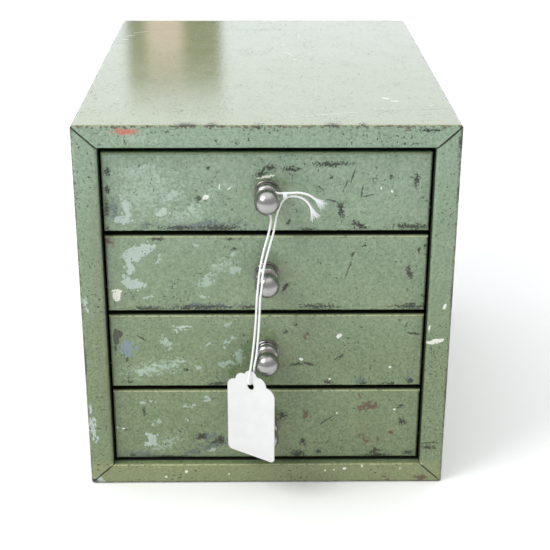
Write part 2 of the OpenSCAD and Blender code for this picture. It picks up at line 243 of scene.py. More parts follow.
class Finish(Nodes):
    """A material made of nodes that read the piece's own place, in metres."""

    def __init__(self, name):
        self.material = bpy.data.materials.new(name)
        self.material.use_nodes = True
        super().__init__(self.material.node_tree)
        self.shader = self.tree.nodes["Principled BSDF"]
        self.place = self.add("TexCoord", out="Object")

    def axes(self):
        """The place along X, Y and Z."""
        return self.add("SeparateXYZ", self.place).node.outputs

    def noise(self, size, detail=3.0, rough=0.55, at=None, out=0):
        """Soft noise whose blotches are about this size across."""
        node = self.tree.nodes.new("ShaderNodeTexNoise")
        self.feed(node.inputs["Vector"], at or self.place)
        node.inputs["Scale"].default_value = 1 / size
        node.inputs["Detail"].default_value = detail
        node.inputs["Roughness"].default_value = rough
        return node.outputs[out]

    def shifted(self, amount, size):
        """The place, pushed about by noise so that outlines look torn."""
        return self.pushed(self.noise(size, 4, 0.6, out=1), amount)

    def pushed(self, colour, amount):
        """The place, moved by a colour's three values as far as amount either way."""
        centred = self.add("VectorMath", colour, (0.5, 0.5, 0.5), operation="SUBTRACT")
        moved = self.add("VectorMath", centred, (2 * amount,) * 3, operation="MULTIPLY")
        return self.add("VectorMath", self.place, moved, operation="ADD")

    def near(self, marks, at):
        """Distance to the nearest mark: 0 in its middle and 1 at its rim.

        Each mark is its middle, its full size along each axis, and the axis and angle that
        turn it back straight.
        """
        nearest = None
        for middle, size, axis, angle in marks:
            spot = at
            if angle:
                spot = self.add("VectorRotate", at, middle, axis, angle)
            scale = tuple(2 / s for s in size)
            start = tuple(-c * k for c, k in zip(middle, scale))
            spot = self.add("VectorMath", spot, scale, start, operation="MULTIPLY_ADD")
            far = self.add("VectorMath", spot, operation="LENGTH", out=1)
            nearest = far if nearest is None else self.least(nearest, far)
        return nearest

    def bump(self, height, distance, under=None):
        """Raises the surface by height times distance."""
        node = self.tree.nodes.new("ShaderNodeBump")
        node.inputs["Distance"].default_value = distance
        self.feed(node.inputs["Height"], height)
        if under is not None:
            self.feed(node.inputs["Normal"], under)
        return node.outputs[0]

    def set(self, **sockets):
        """Sets or joins the shader's own sockets; an underscore stands for a space."""
        for key, value in sockets.items():
            if isinstance(value, tuple) and len(value) == 3:
                value = (*value, 1)
            self.feed(self.shader.inputs[key.replace("_", " ")], value)
        return self.material


def wear(obj, material):
    """Gives an object this one material, in its material slot only."""
    obj.data.materials.clear()
    obj.data.materials.append(material)


# ---------------------------------------------------------------- marks in the enamel

# Marks on each drawer front, in millimetres from its lower left corner: how far across and
# up its middle is, its width, its height and, where it has one, its turn in degrees.
FRONT_MARKS = {
    1: {
        "bare": [
            (12.6, 14, 3.6, 9), (9.6, 6.4, 9.5, 4.6), (13, 8, 4.4, 7), (32.5, 11.4, 6.4, 5, 8),
            (9.5, 19.5, 3, 1.6),
        ],
        "smear": [
            (24, 22, 46, 30, 10), (56, 21, 22, 5, 38), (67, 25.5, 12, 3, 20), (44, 9, 34, 13, 20),
            (22, 34, 34, 12),
        ],
        "bloom": [
            (37, 20.5, 10, 3.6, 38), (22, 37.4, 13, 2.4), (30, 30, 3, 6, 20), (18, 33, 4, 2),
            (48, 13, 9, 3, 34),
        ],
        "primer": [(54, 3.4, 46, 6, 2), (6, 12, 7, 14), (24, 3.4, 14, 4)],
        "chip": [
            (3.3, 34, 3.5, 5), (2.7, 24, 3, 4), (2, 14, 2.4, 11), (2, 2, 2.2, 3),
            (51, 18.5, 3.2, 3.6, 20), (40, 2, 20, 2.4), (62, 2, 22, 3.4), (85, 33, 7, 3.4, 20),
            (90, 36, 7, 3), (101, 35.3, 8, 3.4), (57, 36, 2.4, 1.8), (99.7, 5, 2.8, 3),
            (122.5, 38, 19, 2.8), (122.4, 30.5, 1.8, 1.8), (128, 12, 3, 9, 12), (154, 31, 2, 2.4),
            (168, 29, 3, 6.5), (110, 1.2, 9, 1.8), (166, 2.6, 20, 3.6), (138, 3.5, 10, 3, -24),
        ],
        "scratch": [
            (117, 24.5, 6, 0.9, -42), (133.6, 31, 7.5, 0.8, 74), (139, 23, 8, 0.9, 80),
            (143, 20.5, 7, 0.8, 14), (123.5, 17.3, 7, 1.3, -14), (128, 13, 10, 1.2, 72),
            (138, 4, 11, 1, -24), (130, 26, 9, 0.6, 68),
        ],
        "white": [
            (55.4, 19.5, 3.4, 2.2, 25), (62.5, 25.5, 0.8, 3.4, -8), (68, 24.5, 3, 0.7, 35),
            (149, 24.5, 1.3, 1.5), (155, 22.6, 1, 1.4), (87.5, 31, 10, 1.6, 10),
        ],
        "stain": [(92, 20, 22, 22)],
    },
    2: {
        "bare": [
            (19, 36.4, 12, 8, 16), (13.6, 33, 8, 9), (24, 38, 6, 6), (12.7, 25.6, 4.6, 9, 8),
            (15.6, 15.8, 12, 5, 8), (11, 18, 5, 6),
        ],
        "bloom": [
            (29.7, 31.4, 8, 1.8, 40), (71, 24, 6, 4, 10), (54.6, 17, 10, 6, 26),
            (62, 28.2, 8, 1.8, 36), (22.5, 7.7, 6, 2, 36), (48.7, 39.9, 4.6, 2),
            (69.8, 34.4, 3, 2.2, 30), (53.5, 8.8, 4, 1.8),
        ],
        "smear": [(62, 26, 24, 8, 36)],
        "primer": [(53, 3, 60, 3.4)],
        "chip": [
            (28.4, 43, 7, 2), (68, 43, 4, 2), (70.4, 37.3, 3, 1.4, 20), (22.6, 1.8, 19, 2),
            (52.6, 2.2, 32, 2.8), (77.6, 2.4, 9, 2.2), (98.3, 14.4, 2.2, 6.5, -24),
            (140.9, 38.6, 3.8, 1.2, 14), (134.8, 34, 3, 2.2, 20), (166.5, 22.6, 2.6, 7.5, 24),
            (174.4, 38.5, 2, 2.6), (116.5, 2.6, 20, 2.8), (168, 2.6, 17, 3), (174.3, 8.7, 2, 2.6),
            (171, 36, 1.4, 3),
        ],
        "scratch": [(133, 25.3, 13, 0.8, 72), (141, 38.6, 5, 0.7, 14), (98.3, 14.4, 7, 0.9, 62)],
        "white": [(5, 9.6, 4.6, 7.4), (5.4, 12.2, 6, 2)],
        "rust": [(2.5, 42, 5, 3)],
        "stain": [(92, 20, 20, 20), (3, 41, 8, 6)],
    },
    3: {
        "bare": [(41, 37.3, 12, 1.4, 4), (38, 36, 2, 3)],
        "bloom": [
            (30.3, 29, 3.6, 10, 14), (33, 26, 5, 4), (54, 25.6, 6, 2.4, 35), (67.3, 28, 8, 3, 42),
            (65.8, 39.5, 5, 2.6), (72.3, 19, 6, 7, 10), (66, 15, 13, 4), (48.4, 13.3, 5, 3),
            (22, 11.5, 22, 3, 12), (16, 9, 9, 3), (36, 15, 14, 2, 24),
        ],
        "smear": [(24, 12, 40, 12, 12)],
        "slate": [(9.4, 25, 8.6, 10, -8)],
        "scab": [(3.6, 31.4, 3.6, 10), (5, 33.4, 4.6, 5, -20), (2.8, 24.4, 1.8, 4)],
        "primer": [(140, 3.2, 14, 3), (169.8, 5, 5, 6)],
        "chip": [
            (42.4, 10.8, 3.2, 1.8), (59.6, 1.8, 12, 2), (98.8, 34, 2.4, 2), (104.3, 38.5, 2.4, 2.4),
            (105, 14, 7, 2, 10), (112, 14, 7, 1.6, -14), (143.3, 2, 4.4, 2.2), (123.3, 2.4, 5, 2.2),
            (169.8, 3, 4, 3), (158, 1.4, 8, 1.6), (10, 3, 3, 1.6), (130, 19, 3, 1.4, 40),
            (9, 17, 1.6, 2.6),
        ],
        "scratch": [
            (17.7, 30.7, 6, 1.3, -34), (170.5, 33, 9, 1.4, -10), (166, 38, 4, 0.6, 60),
            (128, 18, 7, 0.6, 35),
        ],
        "white": [
            (128.6, 31.6, 3.4, 2.4, 30), (124, 4.4, 1.3, 1.3), (107.5, 17, 2, 2), (158, 12, 1.6, 1.2),
        ],
        "rust": [(109.8, 31.6, 3, 2.6)],
        "stain": [(92, 18, 20, 20), (109.8, 31.6, 5, 4.6)],
    },
    4: {
        "bare": [(20.6, 12.5, 6, 8, 18), (19, 10, 4, 5), (22.6, 15, 6, 3, 10)],
        "bloom": [
            (19, 36.6, 8, 2), (53.7, 39, 5, 2, 14), (25, 25, 4, 1.8, 40), (23.5, 22, 1.6, 4, -10),
            (41.9, 25.4, 2.4, 2.2), (2.4, 20, 4.5, 1.8, 20), (54.5, 4.6, 12, 2.4, 8), (44, 34, 9, 1.6),
        ],
        "smear": [(30, 10, 24, 10, 20)],
        "primer": [
            (53, 14, 13, 6, 6), (57, 9, 20, 5, 22), (15, 2.6, 24, 5.4), (44.9, 4, 16, 5, 30),
            (62, 11, 8, 6, 30),
        ],
        "scab": [(58, 11, 6, 2, 24), (50, 13.6, 7, 2, 10), (10, 2, 3, 2)],
        "chip": [
            (17.3, 31, 2, 5, 8), (61, 12, 5, 6, 20), (50, 15, 4, 3), (164.6, 33.7, 4.6, 1.8, 30),
            (166.4, 24, 4.8, 3.6, -14), (106.3, 2.8, 8, 4.6), (118.3, 4, 3.2, 3),
            (150.6, 3.6, 7, 3, 16), (170.9, 3.2, 6, 3), (109.2, 11, 3, 4.4, 30), (154, 1.4, 14, 1.8),
            (151, 5.5, 3, 3), (97, 28, 5, 5), (30, 1.2, 24, 1.4),
        ],
        "scratch": [(123, 25.3, 12, 0.8, 34), (121.5, 24, 7, 0.8, 38), (109, 11, 6, 0.8, 50)],
        "white": [(128.6, 29.6, 1.4, 1.4), (161.8, 32, 1.7, 1.4), (5, 20, 1.6, 1)],
        "rust": [
            (144, 33, 6, 7, 10), (149, 34.6, 7, 5), (142.4, 39, 2, 5, 20), (151, 37, 2, 4, -20),
            (111, 28, 5, 3.6, -14), (109.5, 30, 2, 2), (159, 17, 3, 2.4), (146.5, 11.5, 3.4, 2.4),
            (153, 12, 1.4, 4), (143, 14, 1.2, 3),
        ],
        "stain": [(96.6, 12, 13, 30), (92, 20, 24, 20), (148, 16, 20, 20)],
    },
}

# Marks round the case's front, from the middle of its lower edge
CASE_FRONT_MARKS = {
    "bare": [(-99.8, 36, 3.4, 17, 3), (-101, 52, 1.6, 9), (-98, 2.4, 9, 3, -20), (-99.6, 114, 1.4, 11)],
    "smear": [(-86, 30, 3, 12), (-70, 209, 26, 7)],
    "chip": [
        (-41.7, 215.8, 14, 1.1), (-4, 215.2, 6, 2), (-28, 215.8, 7, 0.9), (34, 215.8, 8, 1),
        (50, 215.8, 4, 0.9), (84, 213.5, 14, 1.4), (101.5, 208, 2.6, 8), (102, 180, 1.6, 9),
        (-60, 212.6, 1.4, 1.4), (-52, 212.8, 2.4, 1.4), (-74, 207.6, 1, 2.4, 10), (-16, 206.5, 1.4, 2),
        (-27, 208, 1.2, 1.2), (94, 23.5, 8, 2.4), (102, 120, 1.6, 20), (102, 60, 1.4, 26),
        (-102, 80, 1.6, 24), (-102.4, 12, 1.2, 14), (-101, 2, 5, 3),
    ],
    "scratch": [(94.3, 26.4, 10.5, 1.1, 6), (-60, 203.4, 60, 0.5), (60, 203.4, 40, 0.5)],
    "primer": [(101.5, 204, 3, 12)],
    "seam": [
        (96.2, 209.9, 22, 1.1, 43.4), (-96.2, 209.9, 22, 0.9, -43.4), (96.2, 6.1, 20, 0.8, -43.4),
        (-96.2, 6.1, 20, 0.8, 43.4),
    ],
    "white": [
        (94.2, 91.6, 9.8, 2.8, 12), (98.2, 113, 1.4, 3.6, -14), (90.5, 100, 1, 4, -6),
        (45.4, 9.4, 2, 1.8), (55.6, 11, 1.2, 1.2), (39.3, 8.6, 1.2, 1.2), (34, 8.4, 1.1, 1.1),
        (-46.9, 7.8, 1.8, 1.8), (-58.7, 4.2, 1.7, 1.2), (-22, 6, 1, 1), (78, 9.5, 1, 1),
    ],
    "red": [(-74, 213, 12.6, 3.2)],
    "stain": [
        (-74.3, 207.8, 7.5, 6.5), (-92, 110, 6, 180), (13, 5, 5, 3), (69, 4.5, 6, 3.4), (93, 23, 9, 4),
    ],
    "rust": [(91, 2.6, 9, 3.6), (88, 4, 3, 2.6), (69.6, 3, 3, 1.2)],
}

# Marks on the case's top, from the middle of its front edge back
CASE_TOP_MARKS = {
    "white": [
        (12.2, 196, 0.8, 5, 24), (15, 170, 0.8, 14, 34), (18.6, 152, 1.2, 5, 50),
        (23.6, 226, 1.6, 2.6), (26.5, 210, 1.4, 2), (67, 56, 4.6, 2.6, -30), (71.5, 50, 4.4, 1.8, -10),
        (-92, 226, 9, 0.7, 40), (-86, 238, 12, 0.6, 24), (-95, 214, 7, 0.8, -30),
        (30, 22, 50, 0.4, 14), (62, 34, 30, 0.35, 4), (91, 41, 3, 1), (-83, 55, 1.6, 1.2),
    ],
    "scratch": [
        (20, 150, 2.4, 0.8, 30), (36, 140, 1.6, 1.2), (-80, 247, 40, 0.5), (2, 246, 60, 0.5),
        (92, 33, 24, 0.5, 12),
    ],
}


class Enamel(Finish):
    """Green enamel, flecked and worn, with marks laid over it kind by kind."""

    def __init__(self, name, settings):
        super().__init__(name)
        self.settings = settings
        self.torn = self.shifted(1.6 * MM, 5 * MM)
        self.ragged = self.shifted(0.9 * MM, 1.7 * MM)
        self.flaked = self.flakes(2.6 * MM, 1.5 * MM)
        self.grit = self.noise(1.0 * MM, 3, 0.65)
        self.crumbs = self.noise(1.9 * MM, 4, 0.7)
        cloud = self.noise(30 * MM, 4, 0.65)
        fleck = self.fade(self.noise(1.7 * MM, 5, 0.85), 0.36, 0.66)
        self.tone = self.sum("MULTIPLY_ADD", cloud, 0.45, self.times(fleck, 0.55))
        # Painted light: between these heights the enamel goes from its darker, more olive colours low
        # down to paler, bluer ones near the top, as light from above falls on it.
        height = self.add("MapRange", self.axes()[2], 0.35 * CASE_HIGH[2], 1.04 * CASE_HIGH[2])
        self.colour = self.mix(
            self.tone,
            self.mix(height, tuple(settings.dark), tuple(settings.shade)),
            self.mix(height, tuple(settings.light), tuple(settings.lamplit)),
        )
        self.rough = settings.roughness
        self.depth = None

    def flakes(self, size, amount):
        """The place, pushed about cell by cell so that outlines look flaked."""
        cells = self.tree.nodes.new("ShaderNodeTexVoronoi")
        self.feed(cells.inputs["Vector"], self.ragged)
        cells.inputs["Scale"].default_value = 1 / size
        return self.pushed(cells.outputs["Color"], amount)

    def lay(self, share, over, rough=None, deep=None):
        """Lays a colour over what is there, and takes its roughness and its depth."""
        self.colour = self.mix(share, self.colour, over)
        if rough is not None:
            # over = under + share * (rough - under)
            gap = self.minus(rough, self.rough)
            self.rough = self.sum("MULTIPLY_ADD", share, gap, self.rough)
        if deep is not None:
            step = self.times(share, deep)
            self.depth = step if self.depth is None else self.plus(self.depth, step)

    def marks(self, kinds, solid):
        """Lays every kind of mark. solid turns a mark's numbers into middle, size and turn."""
        s = self.settings
        place = {k: [solid(*m) for m in v] for k, v in kinds.items()}

        def share(kind, at, edge, broken, loss, strength, grain=None):
            """How much of this kind of mark there is at each point, broken up by grain."""
            if not place.get(kind):
                return None
            far = self.near(place[kind], at)
            rubbed = self.minus(grain or self.crumbs, 0.5 - loss)
            far = self.sum("MULTIPLY_ADD", rubbed, broken, far)
            amount = self.fade(far, 1 + edge, 1 - edge)
            return self.times(amount, strength)

        # each kind: where it reads its outline, how soft its edge is, how much noise breaks it
        # up and eats of it, its strength, the noise, and its colour, roughness and depth
        grit = self.grit
        steps = [
            ("stain", self.torn, 0.6, 1.2, 0, 0.32, None, s.stain, 0.3, None),
            ("smear", self.flaked, 0.3, 6.0, 0.08, 0.5, None, s.smear, 0.3, None),
            ("bloom", self.flaked, 0.1, 3.4, 0.03, 0.7, None, s.smear, 0.3, 0.2),
            ("primer", self.flaked, 0.3, 5.0, 0.06, 0.8, None, s.primer, 0.32, -0.3),
            ("slate", self.flaked, 0.08, 1.4, 0, 0.85, None, s.slate, 0.32, -0.3),
            ("scab", self.ragged, 0.08, 1.0, 0, 0.85, None, s.scab, 0.5, -0.8),
            ("bare", self.flaked, 0.05, 0.7, 0, 0.88, None, s.bare, 0.3, -0.5),
            ("red", self.ragged, 0.3, 3.4, 0.02, 0.75, grit, s.red, 0.6, None),
            ("white", self.ragged, 0.12, 1.0, 0, 0.95, None, s.white, 0.5, 0.3),
            ("rust", self.flaked, 0.15, 3.0, 0.02, 0.85, None, s.rust, 0.7, -0.3),
            ("chip", self.ragged, 0.2, 5.0, 0.03, 0.9, grit, s.chip, 0.55, -1.0),
            ("scratch", self.ragged, 0.25, 2.6, 0.05, 0.85, grit, s.chip, 0.55, -0.8),
            ("seam", self.place, 0.4, 1.0, 0, 0.9, grit, s.seam_dirt_and_gap_shade, 0.7, -0.6),
        ]
        for kind, at, edge, broken, loss, strength, grain, over, rough, deep in steps:
            amount = share(kind, at, edge, broken, loss, strength, grain)
            if amount is not None:
                self.lay(amount, over, rough, deep)

    def specks(self, share):
        """Dull grains, pale and yellowish flecks, and dark pits where noise passes share."""
        s = self.settings
        dull = self.fade(self.noise(2.2 * MM, 4, 0.8, at=self.ragged), 0.57, 0.66)
        self.lay(self.times(dull, 0.4), s.dark)
        yellow = self.fade(self.noise(1.9 * MM, 3, 0.75, at=self.flaked), 0.6, 0.68)
        self.lay(self.times(yellow, 0.3), s.fleck)
        pale = self.fade(self.noise(2.6 * MM, 4, 0.75, at=self.flaked), 0.65, 0.71)
        self.lay(self.times(pale, 0.55), s.smear, 0.4)
        clump = self.sum("MULTIPLY_ADD", self.noise(18 * MM, 3, 0.6), 0.22, -0.11)
        pits = self.plus(self.noise(1.5 * MM, 3, 0.65), clump)
        pits = self.fade(pits, share, share + 0.02)
        self.lay(self.times(pits, 0.9), s.chip, 0.6, -0.8)

    def rim(self, distance, reach, strength, over):
        """Crumbly wear that gathers along an edge; distance is how far the edge is."""
        ragged = self.sum("MULTIPLY_ADD", self.crumbs, 5.2 * reach, -2.1 * reach)
        amount = self.fade(self.minus(distance, ragged), reach * 0.1, -reach * 0.1)
        self.lay(self.times(amount, strength), over, 0.55, -0.6)

    def fold_highlight_and_rub(self, distance, strength):
        """A thin pale line along a fold, broken here and there: rubbed paint, and a painted highlight
        where the fold catches the light.
        """
        line = self.fade(
            self.sum("ABSOLUTE", self.minus(distance, 0.45 * MM)), 0.5 * MM, 0.2 * MM
        )
        broken = self.fade(self.crumbs, 0.4, 0.5)
        line = self.times(self.times(line, broken), strength)
        self.lay(line, self.settings.fleck, 0.4)

    def gap_shade(self, depth, start):
        """Painted shade, near black, on what lies deeper than start behind the face, where the gaps and
        the opening fall into shadow.
        """
        amount = self.fade(depth, start, start + 0.9 * MM)
        self.lay(self.times(amount, 0.9), self.settings.seam_dirt_and_gap_shade, 0.7)

    def finished(self):
        """Joins colour, roughness and bump to the shader."""
        peel = self.noise(1.7 * MM, 2, 0.5)
        fine = self.noise(0.45 * MM, 2, 0.5)
        skin = self.bump(peel, 0.014 * MM)
        skin = self.bump(fine, 0.002 * MM, under=skin)
        if self.depth is not None:
            skin = self.bump(self.depth, 0.07 * MM, under=skin)
        uneven = self.sum("MULTIPLY_ADD", self.noise(9 * MM, 4, 0.6), 0.1, self.rough)
        return self.set(
            Base_Color=self.colour, Roughness=self.minus(uneven, 0.05), Normal=skin
        )


def front_solid(node):
    """For marks on a drawer front: millimetres from its lower left corner to a solid."""
    low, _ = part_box(node)

    def solid(across, up, wide, high, turn=0):
        middle = (low[0] + across * MM, low[1], low[2] + up * MM)
        return middle, (wide * MM, 24 * MM, high * MM), (0, 1, 0), radians(turn)

    return solid


def case_front_solid(x, z, wide, high, turn=0):
    """For marks on the case's front, from the middle of its lower edge."""
    middle = (x * MM, CASE_LOW[1], z * MM)
    return middle, (wide * MM, 12 * MM, high * MM), (0, 1, 0), radians(turn)


def case_top_solid(x, back, wide, deep, turn=0):
    """For marks on the case's top, from the middle of its front edge."""
    middle = (x * MM, CASE_LOW[1] + back * MM, CASE_HIGH[2])
    return middle, (wide * MM, deep * MM, 10 * MM), (0, 0, 1), radians(-turn)


# ---------------------------------------------------------------- making shapes


def only(obj):
    """Selects this object alone and makes it active."""
    bpy.ops.object.select_all(action="DESELECT")
    obj.select_set(True)
    bpy.context.view_layer.objects.active = obj


def settle(obj):
    """Puts the object's place into its mesh and leaves it at the origin."""
    only(obj)
    bpy.ops.object.transform_apply(location=True, rotation=True, scale=True)


def curve_point(a, b, c, d, t):
    """A point between b and c on the smooth curve through a, b, c and d."""
    return (
        b + (c - a) * t / 2 + (2 * a - 5 * b + 4 * c - d) * t**2 / 2
        + (3 * b - a - 3 * c + d) * t**3 / 2
    )


def smooth_route(points, spacing):
    """The smooth curve through these points, as points this far apart."""
    pts = [Vector(p) for p in points]
    ends = [pts[0], *pts, pts[-1]]
    fine = [
        curve_point(*ends[i : i + 4], k / 24) for i in range(len(pts) - 1) for k in range(24)
    ] + [pts[-1]]
    walked, total = [0.0], 0.0
    for a, b in zip(fine, fine[1:]):
        total += (b - a).length
        walked.append(total)
    count = max(2, round(total / spacing))
    even, j = [], 0
    for i in range(count + 1):
        want = total * i / count
        while j < len(walked) - 2 and walked[j + 1] < want:
            j += 1
        share = (want - walked[j]) / max(1e-12, walked[j + 1] - walked[j])
        even.append(fine[j].lerp(fine[j + 1], min(1, share)))
    return even, total


def tube(name, path, radius, corners=12, lobes=0, lobe_depth=0.0, turn=0.0):
    """A closed tube along the path, with strands that twist round it.

    radius is a number or one number for each point; turn is the length of a full twist.
    """
    count = len(path)
    radii = [radius] * count if isinstance(radius, float) else radius
    side = Vector((0, 1, 0))
    points, walked = [], 0.0
    for i, place in enumerate(path):
        ahead = (path[min(i + 1, count - 1)] - path[max(i - 1, 0)]).normalized()
        side = (side - ahead * side.dot(ahead)).normalized()
        up = ahead.cross(side)
        if i:
            walked += (place - path[i - 1]).length
        twist = 2 * pi * walked / turn if turn else 0
        for k in range(corners):
            angle = 2 * pi * k / corners
            r = radii[i] * (1 - lobe_depth + lobe_depth * cos(lobes * (angle - twist)))
            points.append(place + side * (r * cos(angle)) + up * (r * sin(angle)))
    faces = []
    for i in range(count - 1):
        for k in range(corners):
            a, b = i * corners + k, i * corners + (k + 1) % corners
            faces.append((a, b, b + corners, a + corners))
    faces.append(tuple(reversed(range(corners))))
    faces.append(tuple((count - 1) * corners + k for k in range(corners)))
    mesh = bpy.data.meshes.new(name)
    mesh.from_pydata(points, [], faces)
    mesh.update()
    obj = bpy.data.objects.new(name, mesh)
    bpy.context.scene.collection.objects.link(obj)
    only(obj)
    bpy.ops.object.shade_smooth()
    return obj


def joined(name, objects):
    """Several meshes as one object."""
    only(objects[0])
    for obj in objects:
        obj.select_set(True)
    bpy.ops.object.join()
    objects[0].name = name
    return objects[0]


# ---------------------------------------------------------------- operators


class CABINET_OT_stage(bpy.types.Operator):
    """Adds the camera, the pale floor, the soft light and the white room"""

    bl_idname = "cabinet.stage"
    bl_label = "Stage"

    def execute(self, context):
        stage = context.scene.cabinet.stage
        self.camera(context)
        self.floor()
        self.panel("key", (-1.0, -0.7, 1.3), (0, 0.05, 0.05), 0.8, 0.8, stage.key)
        self.room(context.scene, stage)
        return {"FINISHED"}

    def camera(self, context):
        """A standing view of the front, looking down at the top."""
        bpy.ops.object.camera_add()
        camera = context.object
        camera.name = "camera"
        camera.data.lens = LENS
        camera.data.sensor_width = SENSOR
        camera.data.clip_start = 0.01
        turn = (
            Matrix.Rotation(radians(PAN), 4, "Z")
            @ Matrix.Rotation(radians(TILT), 4, "X")
            @ Matrix.Rotation(radians(ROLL), 4, "Z")
        )
        camera.matrix_world = Matrix.Translation(CAMERA_PLACE) @ turn
        context.scene.camera = camera

    def floor(self):
        """A large pale sheet."""
        bpy.ops.mesh.primitive_plane_add(size=9, location=(0, 0, 0))
        floor = bpy.context.object
        floor.name = "floor"
        finish = Finish("floor_paper")
        tone = finish.mix(finish.noise(0.4, 2), srgb(252, 252, 251), srgb(254, 254, 254))
        wear(floor, finish.set(Base_Color=tone, Roughness=0.8))

    def panel(self, name, place, target, wide, high, power):
        """A soft box that faces its target."""
        bpy.ops.object.light_add(type="AREA", location=place)
        light = bpy.context.object
        light.name = name
        light.data.shape = "RECTANGLE"
        light.data.size = wide
        light.data.size_y = high
        light.data.energy = power
        away = Vector(target) - Vector(place)
        light.rotation_euler = away.to_track_quat("-Z", "Y").to_euler()
        light.visible_camera = False

    def room(self, scene, stage):
        """The white room: a bright wall behind, with a dim doorway at its left."""
        world = bpy.data.worlds.new("white_room")
        scene.world = world
        world.use_nodes = True
        nodes = Nodes(world.node_tree)
        axes = nodes.add("SeparateXYZ", nodes.add("TexCoord", out="Generated"))
        x, y, z = axes.node.outputs
        azimuth = nodes.sum("ARCTAN2", x, y)
        height = nodes.sum("ARCSINE", z)

        def band(value, start, end, soft):
            """1 between two angles, fading over a soft angle at each."""
            rise = nodes.fade(value, radians(start - soft), radians(start + soft))
            fall = nodes.fade(value, radians(end + soft), radians(end - soft))
            return nodes.times(rise, fall)

        def patch(span, soft_side, soft_end):
            """1 within a stretch of the wall, fading over soft angles at its sides and ends."""
            left, right, low, high = span
            return nodes.times(
                band(height, low, high, soft_end), band(azimuth, left, right, soft_side)
            )

        above = nodes.fade(height, radians(35), radians(65))
        colour = nodes.mix(above, (stage.sky,) * 3, (stage.ceiling,) * 3)
        wall = tuple(k * stage.back for k in WALL_TINT)
        colour = nodes.mix(patch(WALL_SPAN, 20, 5), colour, wall)
        colour = nodes.mix(patch(DOOR_SPAN, 0.25, 0.8), colour, DOOR_COLOUR)
        colour = nodes.mix(patch(CURTAIN_SPAN, 0.3, 1), colour, CURTAIN_COLOUR)
        sky = world.node_tree.nodes["Background"]
        nodes.feed(sky.inputs["Color"], colour)
        scene.view_settings.view_transform = "Standard"


# The string's route, in millimetres: both of its tails start at the knot beside the top
# knob; it goes round the neck, down to the tag's hole and up again.
EYE = (-9, -145.6, 73.3)
ROUTE = [
    (26, -137.4, 177.6), (22, -137.6, 180.4), (17, -137.8, 181.8), (12, -137.6, 181.6),
    (6.6, -136, 180.9), (2.9, -134.6, 181.2), (0, -134.6, 182.1), (-3.1, -134.6, 180.8),
    (-4.3, -134.6, 177.8), (-3.2, -134.6, 174.7), (-0.6, -134.8, 172.8), (1.6, -135.8, 169.6),
    (2, -137.4, 165.4), (0.6, -139.8, 158.8), (-1.8, -142.6, 151), (-3.8, -145.6, 141.5),
    (-4.9, -147.3, 132), (-5.6, -146.6, 123.6), (-6, -144.6, 113), (-6.8, -144, 102),
    (-7.8, -144.4, 92), (-8.8, -145.2, 84.6), (-9.6, -146.8, 80.2), (-10.3, -147.6, 76.4),
    (-9.9, -147.1, 74.1), EYE, (-8.1, -144.2, 74.1), (-7.7, -143.6, 76.4),
    (-7.4, -144.4, 80.2), (-6.8, -145.4, 85), (-5.8, -145.4, 91), (-4.9, -144.8, 101),
    (-4.2, -144.8, 112), (-3.8, -146.8, 123.6), (-2.9, -148.5, 132), (-2, -147, 141.5),
    (0.6, -143, 151), (3.4, -139, 160), (5, -136, 168), (7, -135.2, 174),
    (9.8, -135.8, 178.2), (14, -136.2, 179.4), (18.4, -136.4, 178.4), (21.6, -136.6, 175.8),
    (23.6, -136.8, 172.4),
]
KNOT = Vector((9.6, -136.4, 180.0)) * MM


